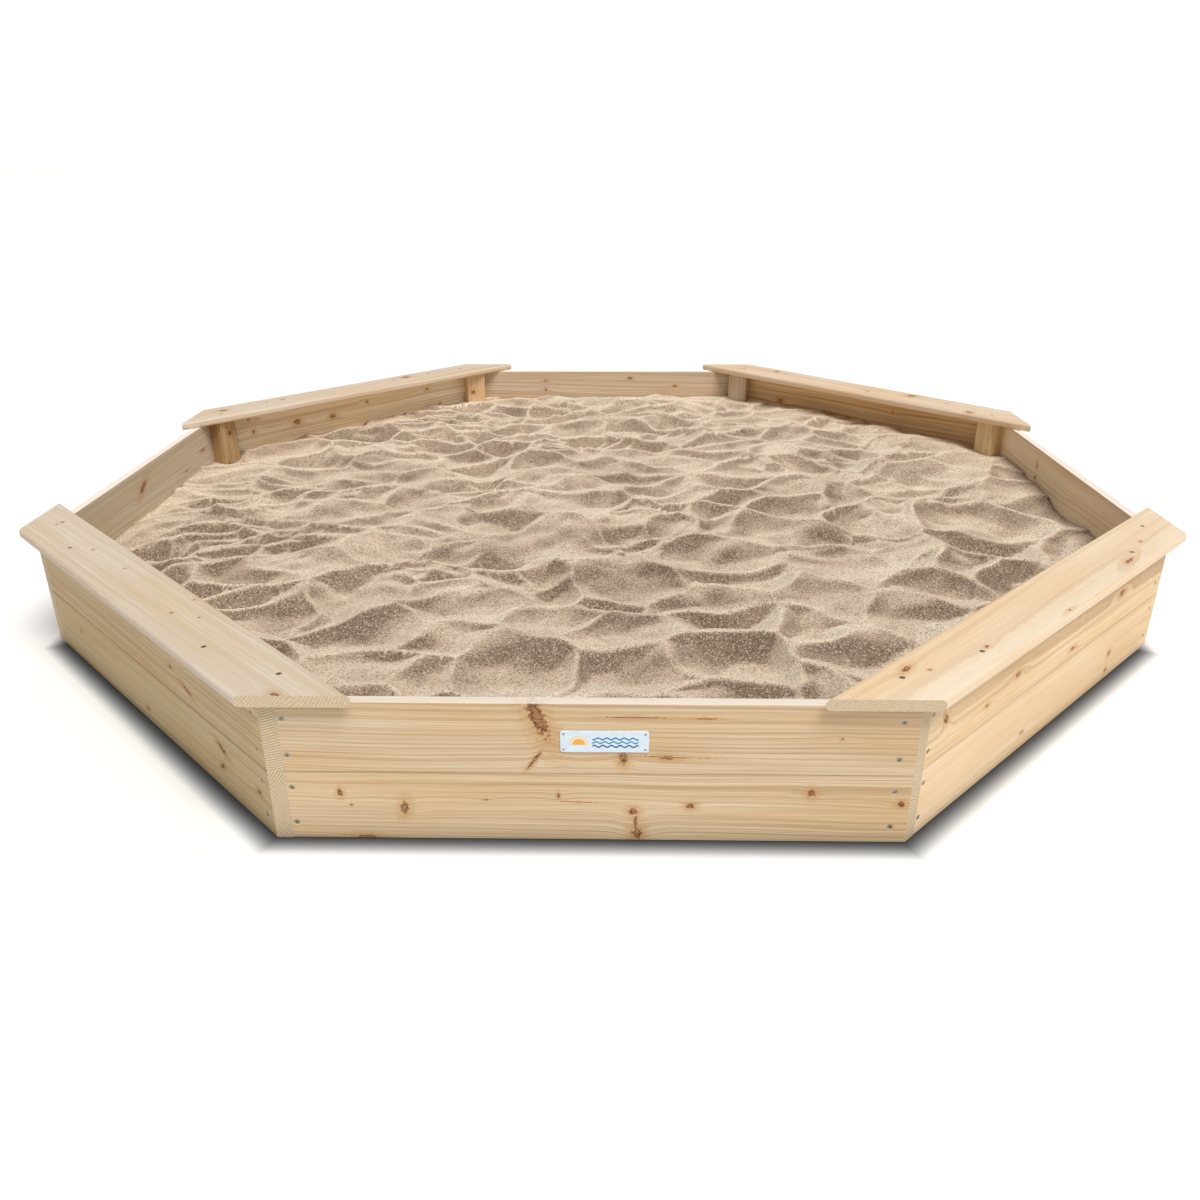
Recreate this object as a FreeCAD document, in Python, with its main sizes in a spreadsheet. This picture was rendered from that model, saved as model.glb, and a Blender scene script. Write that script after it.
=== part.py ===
import FreeCAD, Part

import os

import Sketcher
from FreeCAD import Placement, Rotation, Vector

# An eight-sided timber sandpit that stands on the ground, full of sand.
#
# Frame: +Z up, origin on the ground at the middle. The front wall faces -Y.
# Each wall is two boards high. The boards meet the way a pinwheel does: one end of a
# board butts against the inside of the next wall, and the other end runs past it and is
# cut flush with that wall's outside, so that its end grain shows. A post stands in each
# inside corner, and screws through the boards hold both walls to it. A seat board lies
# on every second wall, screwed to that wall and to the posts at its ends.
#
# A wall, its seat and their holes are drawn in the wall's own frame: x clockwise along
# the wall, y outwards, z up. A post is drawn in the same kind of frame, with y outwards
# through its corner. A turn about Z then puts each one in its place.

# Driving sizes in millimetres. Each name is the number's alias in the sheet.
SIZES = {
    "across_flats": 1840,  # over the outsides of two opposite walls
    "board_width": 95,  # which is the height of one wall board
    "board_thickness": 15,
    "board_edge_radius": 1,
    "post_face": 49,  # width of a post's flat inner face
    "post_side": 33,
    "post_edge_radius": 2,
    "seat_width": 95,
    "seat_thickness": 15,
    "seat_edge_radius": 5,
    "seat_outer_overhang": 24,  # past the outside of its wall
    "seat_end_overhang": 13,  # past the outsides of the walls at its ends
    "screw_head": 7,  # screw sizes are diameters unless they say otherwise
    "screw_shank": 3.5,
    "screw_hole": 4,
    "screw_point_length": 5,
    "cross_span": 3.8,  # of the recess in a screw's head, over its arms
    "cross_width": 0.8,
    "cross_depth": 1.5,
    "screw_sink": 0.4,  # how far a head lies below the surface
    "screw_clearance": 0.1,  # round a head
    "screw_spacing": 50,  # between the two screws in a board's end
    "wall_screw_length": 35,
    "seat_screw_length": 30,
    "pilot_extra": 2,  # how far a pilot hole goes on past the point
    "post_screw_setback": 27,  # a seat's screw in a post, from the post's ridge
    "seat_screw_reach": 235,  # a seat's screw in its wall, from the seat's middle
    "plate_length": 103,
    "plate_height": 28.5,
    "plate_thickness": 1.2,
    "plate_corner_radius": 3,
    "plate_edge_radius": 0.3,
    "plate_offset": 19,  # from the wall's middle, anticlockwise
    "plate_drop": 50,  # from the wall's top to the plate's middle
    "pin_inset": 4,  # from the plate's edges
    "pin_shank": 1.5,
    "pin_hole": 1.7,  # in the plate
    "pin_head": 3.2,
    "pin_head_height": 0.8,
    "pin_length": 9,
    "sand_level": 105,  # above the ground
    "liner_thickness": 1,
}

# Clockwise from the back, seen from above. Every second one carries a seat.
WALLS = (
    "back", "back_right", "right", "front_right",
    "front", "front_left", "left", "back_left",
)
STEP = 360 / len(WALLS)
CROSS_TURN = 37  # degrees from one screw's cross to the next one's
NEAR = 0.01  # millimetres
SEAT_WALLS = WALLS[1::2]
PLATE_WALL = "front"

# Shared measures, each written once as an expression on the sheet.
HALF_STEP = f"({STEP / 2} deg)"
OUTER = "(Sizes.across_flats / 2)"
INNER = f"({OUTER} - Sizes.board_thickness)"
WALL_MIDDLE = f"({OUTER} - Sizes.board_thickness / 2)"
WALL_TOP = "(2 * Sizes.board_width)"
INSIDE_CORNER = f"({INNER} / cos{HALF_STEP})"  # from the middle of the sandpit
BUTTED_END = f"({OUTER} * tan{HALF_STEP} - Sizes.board_thickness / sin({STEP} deg))"
FLUSH_END = f"(-{OUTER} * tan{HALF_STEP})"
SHOULDER = f"({INSIDE_CORNER} - Sizes.post_face / 2 * tan{HALF_STEP})"
CONTACT = f"(Sizes.post_face / 2 / cos{HALF_STEP})"  # width of wall that a post covers
BUTTED_SCREW = f"(({BUTTED_END} + {INNER} * tan{HALF_STEP} - {CONTACT}) / 2)"
FLUSH_SCREW = f"({CONTACT} / 2 - {INNER} * tan{HALF_STEP})"
POST_SCREW = f"({INSIDE_CORNER} - Sizes.post_screw_setback)"
SEAT_TOP = f"({WALL_TOP} + Sizes.seat_thickness)"
SEAT_OUTER = f"({OUTER} + Sizes.seat_outer_overhang)"
SEAT_INNER = f"({SEAT_OUTER} - Sizes.seat_width)"
SEAT_END = f"(({OUTER} + Sizes.seat_end_overhang) / sin({STEP} deg))"
PLATE_X = "(-Sizes.plate_offset)"
PLATE_Z = f"({WALL_TOP} - Sizes.plate_drop)"
WALL_PILOT = (
    "(Sizes.wall_screw_length + Sizes.screw_sink + Sizes.pilot_extra"
    " - Sizes.board_thickness)"
)
SEAT_PILOT = (
    "(Sizes.seat_screw_length + Sizes.screw_sink + Sizes.pilot_extra"
    " - Sizes.seat_thickness)"
)

UP = Vector(0, 0, 1)
doc = FreeCAD.newDocument("sandpit")
sheet = doc.addObject("Spreadsheet::Sheet", "Sizes")
parts = []


def fill_sheet():
    for row, (alias, value) in enumerate(SIZES.items(), start=1):
        sheet.set(f"A{row}", alias)
        sheet.set(f"B{row}", str(value))
        sheet.setAlias(f"B{row}", alias)
    doc.recompute()


def number(expression):
    """What an expression on the sheet comes to, in millimetres."""
    value = sheet.evalExpression(expression)
    return float(getattr(value, "Value", value))


def turned(turn):
    return Placement(Vector(), Rotation(UP, turn))


def part(kind, name, placement):
    """A new object of the document that becomes a piece of its own."""
    piece = doc.addObject(kind, name)
    piece.Label = name
    piece.Placement = placement
    parts.append(piece)
    return piece


def origin_feature(body, role):
    return next(f for f in body.Origin.OriginFeatures if f.Role == role)


def sketch_on(body, name, plane, offset=None, turn=None):
    """A sketch on an origin plane, turned and then moved in that plane's own frame.

    offset gives an expression for each coordinate that moves the sketch.
    """
    sketch = body.newObject("Sketcher::SketchObject", name)
    sketch.AttachmentSupport = (origin_feature(body, plane), [""])
    sketch.MapMode = "FlatFace"
    sketch.AttachmentOffset = Placement(Vector(), turn or Rotation())
    for axis, expression in (offset or {}).items():
        sketch.setExpression(f"AttachmentOffset.Base.{axis}", expression)
    return sketch


def pin_down(sketch, geometry, point, x, y):
    """Hold one point of the sketch at the two expressions."""
    for kind, expression in (("DistanceX", x), ("DistanceY", y)):
        constraint = Sketcher.Constraint(kind, geometry, point, number(expression))
        index = sketch.addConstraint(constraint)
        sketch.setExpression(f"Constraints[{index}]", expression)


def draw_outline(sketch, corners):
    """Straight lines round the corners, each a pair of expressions."""
    points = [Vector(number(x), number(y), 0) for x, y in corners]
    for start, end in zip(points, points[1:] + points[:1]):
        sketch.addGeometry(Part.LineSegment(start, end), False)
    for line, (x, y) in enumerate(corners):
        following = (line + 1) % len(corners)
        sketch.addConstraint(Sketcher.Constraint("Coincident", line, 2, following, 1))
        pin_down(sketch, line, 1, x, y)


def draw_circles(sketch, centres, diameter):
    """A circle round each centre, a pair of expressions."""
    for circle, (x, y) in enumerate(centres):
        centre = Vector(number(x), number(y), 0)
        radius = number(diameter) / 2
        sketch.addGeometry(Part.Circle(centre, UP, radius), False)
        pin_down(sketch, circle, 3, x, y)
        index = sketch.addConstraint(Sketcher.Constraint("Diameter", circle, 2 * radius))
        sketch.setExpression(f"Constraints[{index}]", diameter)


def pad(body, name, sketch, length):
    feature = body.newObject("PartDesign::Pad", name)
    feature.Profile = sketch
    feature.setExpression("Length", length)
    doc.recompute()
    return feature


def round_edges(body, name, chosen, radius):
    """Round the tip's edges that chosen(edge) picks."""
    base = body.Tip
    names = [f"Edge{i}" for i, e in enumerate(base.Shape.Edges, start=1) if chosen(e)]
    feature = body.newObject("PartDesign::Fillet", name)
    feature.Base = (base, names)
    feature.setExpression("Radius", radius)
    doc.recompute()
    return feature


def drill(body, name, sketch, depth=None, inwards=True):
    """Pocket the sketch's circles, right through unless a depth is given."""
    before = body.Shape.Volume
    feature = body.newObject("PartDesign::Pocket", name)
    feature.Profile = sketch
    feature.Reversed = inwards
    if depth:
        feature.setExpression("Length", depth)
    else:
        feature.Type = "ThroughAll"
    doc.recompute()
    assert feature.Shape.Volume < before, f"{body.Label}: {name} cuts nothing"


def countersink(body, name, sketch, inwards):
    """Clearance holes right through, with a seat for a flat head."""
    before = body.Shape.Volume
    feature = body.newObject("PartDesign::Hole", name)
    feature.Profile = sketch
    doc.recompute()
    feature.Threaded = False
    feature.DepthType = "ThroughAll"
    feature.Reversed = inwards
    feature.setExpression("Diameter", "Sizes.screw_hole")
    feature.HoleCutType = "Countersink"
    feature.HoleCutCustomValues = True
    feature.HoleCutCountersinkAngle = 90
    rim = "Sizes.screw_head + 2 * (Sizes.screw_sink + Sizes.screw_clearance)"
    feature.setExpression("HoleCutDiameter", rim)
    doc.recompute()
    assert feature.Shape.Volume < before, f"{body.Label}: {name} cuts nothing"


def along(axis):
    """Picks the straight edges that run along the axis."""
    def chosen(edge):
        return (
            edge.Curve.TypeId == "Part::GeomLine"
            and abs(abs(edge.Curve.Direction.dot(axis)) - 1) < 1e-6
        )
    return chosen


def screw_heights(row):
    """The two heights of the screws in the end of a board, by its row from the ground."""
    middle = f"({row} + 0.5) * Sizes.board_width"
    return [f"({middle} {sign} Sizes.screw_spacing / 2)" for sign in "-+"]


def pin_places():
    """The plate's four pins, as x and z on its wall."""
    reach = "(Sizes.plate_length / 2 - Sizes.pin_inset)"
    rise = "(Sizes.plate_height / 2 - Sizes.pin_inset)"
    return [
        (f"({PLATE_X} {a} {reach})", f"({PLATE_Z} {b} {rise})") for a in "-+" for b in "-+"
    ]


def wall_board(wall, row):
    """One board, with countersunk holes at its ends. The lower row is 0, the upper 1."""
    turn = -STEP * WALLS.index(wall)
    body = part("PartDesign::Body", f"wall_board_{wall}_{('lower', 'upper')[row]}", turned(turn))
    bottom = f"({row} * Sizes.board_width)"
    plan = sketch_on(body, "plan", "XY_Plane", {"z": bottom})
    corners = [
        (BUTTED_END, OUTER),
        (FLUSH_END, OUTER),
        (f"({FLUSH_END} - Sizes.board_thickness)", INNER),
        (f"({INNER} * tan{HALF_STEP})", INNER),
    ]
    draw_outline(plan, corners)
    pad(body, "plank", plan, "Sizes.board_width")
    round_edges(body, "arrises", along(Vector(1, 0, 0)), "Sizes.board_edge_radius")
    marks = sketch_on(body, "screw_marks", "XZ_Plane", {"z": f"-{OUTER}"})
    centres = [(x, z) for x in (BUTTED_SCREW, FLUSH_SCREW) for z in screw_heights(row)]
    draw_circles(marks, centres, "Sizes.screw_hole")
    countersink(body, "screw_holes", marks, inwards=True)
    if row == 1 and wall in SEAT_WALLS:
        top_pilots(body)
    if row == 1 and wall == PLATE_WALL:
        marks = sketch_on(body, "pin_marks", "XZ_Plane", {"z": f"-{OUTER}"})
        draw_circles(marks, pin_places(), "Sizes.pin_shank")
        drill(body, "pin_holes", marks, "Sizes.pin_length")


def top_pilots(body):
    """Holes down into a wall's top edge for two of its seat's screws."""
    marks = sketch_on(body, "seat_screw_marks", "XY_Plane", {"z": WALL_TOP})
    centres = [(f"({sign} Sizes.seat_screw_reach)", WALL_MIDDLE) for sign in "-+"]
    draw_circles(marks, centres, "Sizes.screw_shank")
    drill(body, "seat_screw_holes", marks, SEAT_PILOT, inwards=False)


def post_outline():
    """Five corners: the ridge in the inside corner, two shoulders and the inner face."""
    half = "(Sizes.post_face / 2)"
    face = f"({SHOULDER} - Sizes.post_side)"
    return [
        ("0", INSIDE_CORNER),
        (f"(-{half})", SHOULDER),
        (f"(-{half})", face),
        (half, face),
        (half, SHOULDER),
    ]


def corner_post(index):
    """The post between wall number index and the one that follows it clockwise."""
    following = WALLS[(index + 1) % len(WALLS)]
    name = f"corner_post_{WALLS[index]}_to_{following}"
    body = part("PartDesign::Body", name, turned(-STEP * (index + 0.5)))
    plan = sketch_on(body, "plan", "XY_Plane")
    draw_outline(plan, post_outline())
    pad(body, "post", plan, WALL_TOP)
    inner = number(SHOULDER) - number("Sizes.post_side")

    def inner_arris(edge):
        return along(UP)(edge) and abs(edge.CenterOfMass.y - inner) < NEAR

    round_edges(body, "arrises", inner_arris, "Sizes.post_edge_radius")
    heights = [z for row in (0, 1) for z in screw_heights(row)]
    for side, turn, x in (("butted", 1, BUTTED_SCREW), ("flush", -1, FLUSH_SCREW)):
        offset = {
            "x": f"({-turn} * {INNER} * sin{HALF_STEP})",
            "z": f"(-{INNER} * cos{HALF_STEP})",
        }
        lean = Rotation(Vector(0, 1, 0), turn * STEP / 2)
        marks = sketch_on(body, f"{side}_marks", "XZ_Plane", offset, lean)
        draw_circles(marks, [(x, z) for z in heights], "Sizes.screw_shank")
        drill(body, f"{side}_pilots", marks, WALL_PILOT)
    marks = sketch_on(body, "seat_screw_mark", "XY_Plane", {"z": WALL_TOP})
    draw_circles(marks, [("0", POST_SCREW)], "Sizes.screw_shank")
    drill(body, "seat_screw_hole", marks, SEAT_PILOT, inwards=False)


def seat_screw_places():
    """A seat's four screws, as x and y on its wall: two in posts, two in the wall."""
    in_post = (f"({POST_SCREW} * sin{HALF_STEP})", f"({POST_SCREW} * cos{HALF_STEP})")
    in_wall = ("Sizes.seat_screw_reach", WALL_MIDDLE)
    return [(f"({sign} {x})", y) for x, y in (in_post, in_wall) for sign in "-+"]


def seat_board(wall):
    """A seat, whose ends are cut along the walls beside its own."""
    turn = -STEP * WALLS.index(wall)
    body = part("PartDesign::Body", f"seat_board_{wall}", turned(turn))
    plan = sketch_on(body, "plan", "XY_Plane", {"z": WALL_TOP})
    corners = [
        (f"({sign} ({SEAT_END} - {y}))", y)
        for sign, y in (("", SEAT_OUTER), ("-", SEAT_OUTER), ("-", SEAT_INNER), ("", SEAT_INNER))
    ]
    draw_outline(plan, corners)
    pad(body, "plank", plan, "Sizes.seat_thickness")
    round_edges(body, "arrises", along(Vector(1, 0, 0)), "Sizes.seat_edge_radius")
    marks = sketch_on(body, "screw_marks", "XY_Plane", {"z": SEAT_TOP})
    draw_circles(marks, seat_screw_places(), "Sizes.screw_hole")
    countersink(body, "screw_holes", marks, inwards=False)


def name_plate():
    """A thin plate on the outside of the front wall, with a hole in each corner."""
    turn = -STEP * WALLS.index(PLATE_WALL)
    body = part("PartDesign::Body", "name_plate", turned(turn))
    outline = sketch_on(body, "outline", "XZ_Plane", {"z": f"-{OUTER}"})
    reach, rise = "Sizes.plate_length / 2", "Sizes.plate_height / 2"
    corners = [
        (f"({PLATE_X} {a} {reach})", f"({PLATE_Z} {b} {rise})")
        for a, b in (("-", "-"), ("+", "-"), ("+", "+"), ("-", "+"))
    ]
    draw_outline(outline, corners)
    plate = pad(body, "plate", outline, "Sizes.plate_thickness")
    plate.Reversed = True
    doc.recompute()
    assert plate.Shape.BoundBox.YMax > number(OUTER), "the plate points into the wall"
    round_edges(body, "corners", along(Vector(0, 1, 0)), "Sizes.plate_corner_radius")
    front = number(f"{OUTER} + Sizes.plate_thickness")

    def front_edge(edge):
        return abs(edge.BoundBox.YMin - front) < NEAR

    round_edges(body, "arrises", front_edge, "Sizes.plate_edge_radius")
    marks = sketch_on(body, "pin_marks", "XZ_Plane", {"z": f"-({OUTER} + Sizes.plate_thickness)"})
    draw_circles(marks, pin_places(), "Sizes.pin_hole")
    drill(body, "pin_holes", marks)


def filling(name, bottom, top):
    """What lies between the walls, from one height to the other, cut out round the posts."""
    body = part("PartDesign::Body", name, Placement())
    plan = sketch_on(body, "plan", "XY_Plane", {"z": bottom})
    angles = [STEP * (i + 0.5) for i in range(len(WALLS))]
    corners = [
        (f"({INSIDE_CORNER} * cos({a} deg))", f"({INSIDE_CORNER} * sin({a} deg))")
        for a in angles
    ]
    draw_outline(plan, corners)
    whole = pad(body, "layer", plan, f"({top} - {bottom})")
    cut = sketch_on(body, "post_plan", "XY_Plane", {"z": bottom}, Rotation(UP, STEP / 2))
    draw_outline(cut, post_outline())
    notch = body.newObject("PartDesign::Pocket", "post_notch")
    notch.Profile = cut
    notch.Type = "ThroughAll"
    notch.Reversed = True
    doc.recompute()
    ring = body.newObject("PartDesign::PolarPattern", "post_notches")
    ring.Originals = [notch]
    ring.Axis = (origin_feature(body, "Z_Axis"), [""])
    ring.Angle = 360
    ring.Occurrences = len(WALLS)
    body.Tip = ring
    doc.recompute()
    points = [Vector(number(x), number(y)) for x, y in post_outline()]
    post = Part.Face(Part.makePolygon(points + points[:1]))
    gone = whole.Shape.Volume - ring.Shape.Volume
    wanted = len(WALLS) * post.Area * number(f"{top} - {bottom}")
    assert abs(gone / wanted - 1) < NEAR, f"{name}: its notches don't match the posts"


def wood_screw(length):
    """A countersunk screw that points down, with the middle of its head's top at 0."""
    head, shank = number("Sizes.screw_head") / 2, number("Sizes.screw_shank") / 2
    cone, point = head - shank, number("Sizes.screw_point_length")
    profile = [(0, 0), (head, 0), (shank, -cone), (shank, point - length), (0, -length)]
    wire = Part.makePolygon([Vector(x, 0, z) for x, z in profile + profile[:1]])
    screw = Part.Face(wire).revolve(Vector(), UP, 360)
    span, width, depth = (number(f"Sizes.cross_{size}") for size in ("span", "width", "depth"))
    arm = Part.makeBox(span, width, depth, Vector(-span / 2, -width / 2, -depth))
    across = arm.copy()
    across.rotate(Vector(), UP, 90)
    return screw.cut(arm.fuse(across))


def plate_pin():
    """A domed pin that points down, with the underside of its head at 0."""
    shank, head = number("Sizes.pin_shank") / 2, number("Sizes.pin_head") / 2
    rise, length = number("Sizes.pin_head_height"), number("Sizes.pin_length")
    ball = (head**2 + rise**2) / (2 * rise)
    dome = Part.makeSphere(ball, Vector(0, 0, rise - ball))
    dome = dome.common(Part.makeCylinder(head, 2 * rise))
    return dome.fuse(Part.makeCylinder(shank, length, Vector(), -UP)).removeSplitter()


def fasteners(name, pattern, places):
    """A group of equal solids, one at each placement. Each turns its cross by its number."""
    shapes = []
    for count, place in enumerate(places):
        shape = pattern.copy()
        shape.Placement = place * Placement(Vector(), Rotation(UP, CROSS_TURN * count))
        shapes.append(shape)
    group = part("Part::Feature", name, Placement())
    group.Shape = Part.makeCompound(shapes)


def on_wall(wall, x, y, z, outwards):
    """The placement of something that points down at x, y, z of a wall, or inwards."""
    tip = Rotation(Vector(1, 0, 0), -90) if outwards else Rotation()
    return turned(-STEP * WALLS.index(wall)) * Placement(Vector(x, y, z), tip)


def all_fasteners():
    sunk = number("Sizes.screw_sink")
    places = [
        on_wall(wall, number(x), number(OUTER) - sunk, number(z), True)
        for wall in WALLS
        for x in (BUTTED_SCREW, FLUSH_SCREW)
        for row in (0, 1)
        for z in screw_heights(row)
    ]
    fasteners("wall_screws", wood_screw(number("Sizes.wall_screw_length")), places)
    places = [
        on_wall(wall, number(x), number(y), number(SEAT_TOP) - sunk, False)
        for wall in SEAT_WALLS
        for x, y in seat_screw_places()
    ]
    fasteners("seat_screws", wood_screw(number("Sizes.seat_screw_length")), places)
    front = number(f"{OUTER} + Sizes.plate_thickness")
    places = [on_wall(PLATE_WALL, number(x), front, number(z), True) for x, z in pin_places()]
    fasteners("name_plate_pins", plate_pin(), places)


def check():
    doc.recompute()
    for item in doc.Objects:
        wrong = {"Invalid", "Error"} & set(item.State)
        assert not wrong, f"{item.Label}: {wrong}"
    for piece in parts:
        assert not piece.Shape.isNull(), f"{piece.Label} is empty"
        assert piece.Shape.isValid(), f"{piece.Label} isn't valid"


def main():
    fill_sheet()
    for wall in WALLS:
        for row in (0, 1):
            wall_board(wall, row)
    for index in range(len(WALLS)):
        corner_post(index)
    for wall in SEAT_WALLS:
        seat_board(wall)
    name_plate()
    filling("ground_liner", "0", "Sizes.liner_thickness")
    filling("sand_fill", "Sizes.liner_thickness", "Sizes.sand_level")
    all_fasteners()
    check()
    os.makedirs("parts", exist_ok=True)
    for piece in parts:
        piece.Shape.exportStep(f"parts/{piece.Label}.step")


main()
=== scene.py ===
"""An eight-sided wooden sandpit, full of trodden sand, on a plain pale floor.

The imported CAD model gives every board, post, screw and plate its shape and place. This
script gives them their materials, and makes the two soft pieces: the sand and its liner.
"""

import math

import bpy
import numpy as np
from mathutils import Matrix, Vector
from mathutils.geometry import delaunay_2d_cdt


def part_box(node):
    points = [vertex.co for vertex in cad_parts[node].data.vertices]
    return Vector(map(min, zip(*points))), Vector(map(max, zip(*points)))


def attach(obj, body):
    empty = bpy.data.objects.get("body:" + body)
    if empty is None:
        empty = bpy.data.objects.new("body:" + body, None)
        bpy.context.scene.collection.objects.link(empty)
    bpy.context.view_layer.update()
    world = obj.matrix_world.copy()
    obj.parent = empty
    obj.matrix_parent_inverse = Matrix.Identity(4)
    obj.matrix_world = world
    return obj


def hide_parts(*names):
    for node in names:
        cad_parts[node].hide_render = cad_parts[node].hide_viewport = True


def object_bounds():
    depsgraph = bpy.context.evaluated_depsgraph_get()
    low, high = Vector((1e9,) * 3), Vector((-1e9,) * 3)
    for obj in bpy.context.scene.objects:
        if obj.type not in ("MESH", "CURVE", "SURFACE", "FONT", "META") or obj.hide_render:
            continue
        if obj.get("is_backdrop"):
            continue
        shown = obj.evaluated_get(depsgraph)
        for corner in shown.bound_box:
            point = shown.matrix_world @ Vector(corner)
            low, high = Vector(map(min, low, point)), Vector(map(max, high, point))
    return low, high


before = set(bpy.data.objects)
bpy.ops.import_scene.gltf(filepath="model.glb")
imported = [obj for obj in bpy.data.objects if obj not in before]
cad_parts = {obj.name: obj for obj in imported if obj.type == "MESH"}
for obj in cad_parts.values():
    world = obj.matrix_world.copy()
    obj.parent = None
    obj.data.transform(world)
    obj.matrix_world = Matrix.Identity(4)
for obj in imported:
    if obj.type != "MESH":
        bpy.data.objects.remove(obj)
cad_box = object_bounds()

# ---------------------------------------------------------------- sizes, in metres

WALLS = (
    "back", "back_right", "right", "front_right",
    "front", "front_left", "left", "back_left",
)
STEP = math.tau / len(WALLS)
OUTER = -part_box("wall_board_front_upper")[0][1]
INNER = -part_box("wall_board_front_upper")[1][1]
BOARD_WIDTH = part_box("wall_board_front_lower")[1][2]
SEAT_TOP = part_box("seat_board_front_left")[1][2]
SAND_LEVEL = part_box("sand_fill")[1][2]
LINER_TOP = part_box("ground_liner")[1][2]


def turn_of(wall):
    """The turn about Z that brings a wall from the back to its place."""
    return -STEP * WALLS.index(wall)


# ---------------------------------------------------------------- camera, light, floor


def place_camera():
    """The photographer's place: in front, a little above the sandpit, looking down."""
    place = Vector((0.036, -2.095, 0.842)) * OUTER
    yaw, pitch, roll = (math.radians(a) for a in (-1.08, 24.3, -0.16))
    camera = bpy.data.objects.new("camera", bpy.data.cameras.new("camera"))
    camera.data.sensor_width = 36
    camera.data.lens = 30.53
    look = Matrix.Rotation(-yaw, 4, "Z") @ Matrix.Rotation(math.pi / 2 - pitch, 4, "X")
    camera.matrix_world = Matrix.Translation(place) @ look @ Matrix.Rotation(roll, 4, "Z")
    bpy.context.scene.collection.objects.link(camera)
    bpy.context.scene.camera = camera


def place_lights():
    """A broad soft key light from the front right, in a room that looks white."""
    world = bpy.data.worlds.new("room")
    world.use_nodes = True
    tree = world.node_tree
    fill = tree.nodes["Background"]
    fill.inputs["Color"].default_value = (0.97, 0.985, 1.0, 1)
    fill.inputs["Strength"].default_value = 0.34
    white = tree.nodes.new("ShaderNodeBackground")
    white.inputs["Color"].default_value = (1, 1, 1, 1)
    white.inputs["Strength"].default_value = 1.05
    seen = tree.nodes.new("ShaderNodeLightPath").outputs["Is Camera Ray"]
    both = tree.nodes.new("ShaderNodeMixShader")
    for socket, value in zip(both.inputs, (seen, fill.outputs[0], white.outputs[0])):
        tree.links.new(value, socket)
    tree.links.new(both.outputs[0], tree.nodes["World Output"].inputs["Surface"])
    bpy.context.scene.world = world
    sun = bpy.data.objects.new("key", bpy.data.lights.new("key", "SUN"))
    sun.data.energy = 2.85
    sun.data.angle = math.radians(30)
    sun.data.color = (1.0, 0.985, 0.96)
    towards = Vector((0.26, -0.38, 0.88))
    sun.rotation_euler = towards.to_track_quat("Z", "Y").to_euler()
    bpy.context.scene.collection.objects.link(sun)


# How far the painted contact shadow on the floor reaches from the three front walls and from the
# others.
CONTACT_FRONT, CONTACT_BACK = 0.038, 0.012


def place_floor():
    """A plain pale floor, with a soft painted contact shadow close to the walls."""
    size = 40
    mesh = bpy.data.meshes.new("floor")
    corners = [(-size, -size, 0), (size, -size, 0), (size, size, 0), (-size, size, 0)]
    mesh.from_pydata(corners, [], [(0, 1, 2, 3)])
    floor = bpy.data.objects.new("floor", mesh)
    bpy.context.scene.collection.objects.link(floor)
    n = Nodes("floor")
    place = n.place()
    away = None
    for index in range(len(WALLS)):
        facing = (math.cos(STEP * index), math.sin(STEP * index), 0)
        reach = n.vector_math("DOT_PRODUCT", place, facing)
        at_front = facing[1] < -0.1
        if not at_front:
            reach = n.math("ADD", reach, CONTACT_FRONT - CONTACT_BACK)
        away = reach if away is None else n.math("MAXIMUM", away, reach)
    # Painted shadow: darkest at the walls, fading out to the pale floor.
    shade = n.ramp(n.span(away, OUTER, OUTER + CONTACT_FRONT), (0.0, (0.015, 0.017, 0.019)),
                   (0.3, (0.12, 0.127, 0.135)), (0.6, (0.42, 0.44, 0.46)),
                   (0.85, (0.82, 0.84, 0.86)), (1.0, 0.95), smooth=True)
    n.feed(n.shader.inputs["Base Color"], shade)
    n.shader.inputs["Roughness"].default_value = 0.9
    mesh.materials.append(n.material)
    floor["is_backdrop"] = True


# ---------------------------------------------------------------- material nodes


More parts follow.
